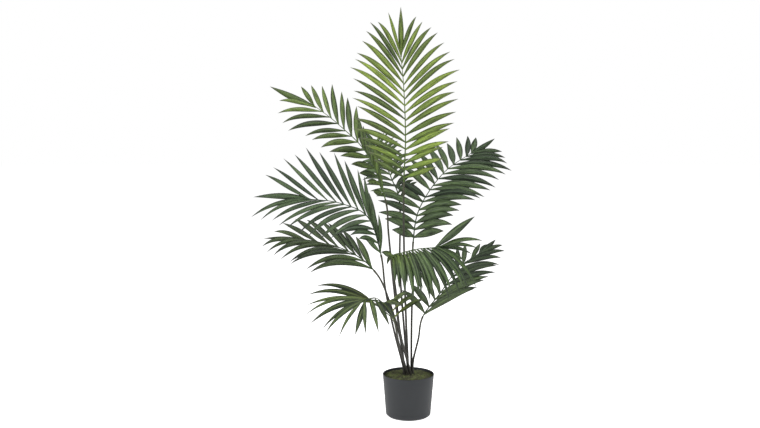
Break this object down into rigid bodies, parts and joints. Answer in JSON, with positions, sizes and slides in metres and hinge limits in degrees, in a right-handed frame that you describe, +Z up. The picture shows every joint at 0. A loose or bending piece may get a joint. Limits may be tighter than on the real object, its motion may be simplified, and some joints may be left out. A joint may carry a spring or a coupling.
{
  "type": "potted palm",
  "caption": "Tall feathery kentia palm: slender dark stems fan out of a mossy round plastic pot, each ending in an arching leaf of long narrow leaflets.",
  "frame": {"origin": "centre of the pot's flat base, on the surface it stands on", "axes": "+Z up along the pot's axis, -Y towards the plant's front, +X to the viewer's right seen from the front"},
  "size_m": [0.7709, 0.6311, 1.224],
  "materials": {
    "pot_plastic": "satin dark grey moulded plastic",
    "soil": "coarse dark brown, dull",
    "moss": "dull, fibrous, olive green with brown and dark specks",
    "stem": "dull dark brown-grey, faintly ribbed along its length",
    "leaf_bright": "light yellow-green, fine lengthwise veins, soft sheen",
    "leaf_olive": "olive green, fine lengthwise veins, soft sheen, darker tips",
    "leaf_dark": "dark green with a bluish-grey sheen, fine lengthwise veins, darker tips"
  },
  "bodies": {
    "root": {"pot": "pot_plastic", "soil": "soil", "moss": "moss", "crown_stem": "stem", "crown_leaf": "leaf_bright", "upper_left_stem": "stem", "upper_left_leaf": "leaf_olive", "middle_left_stem": "stem", "middle_left_leaf": "leaf_dark", "lower_left_stem": "stem", "lower_left_leaf": "leaf_dark", "upper_right_stem": "stem", "upper_right_leaf": "leaf_dark", "lower_right_stem": "stem", "lower_right_leaf": "leaf_dark", "front_stem": "stem", "front_leaf": "leaf_dark", "bottom_left_stem": "stem", "bottom_left_leaf": "leaf_olive", "rear_stem": "stem", "rear_leaf": "leaf_dark"}
  },
  "joints": []
}
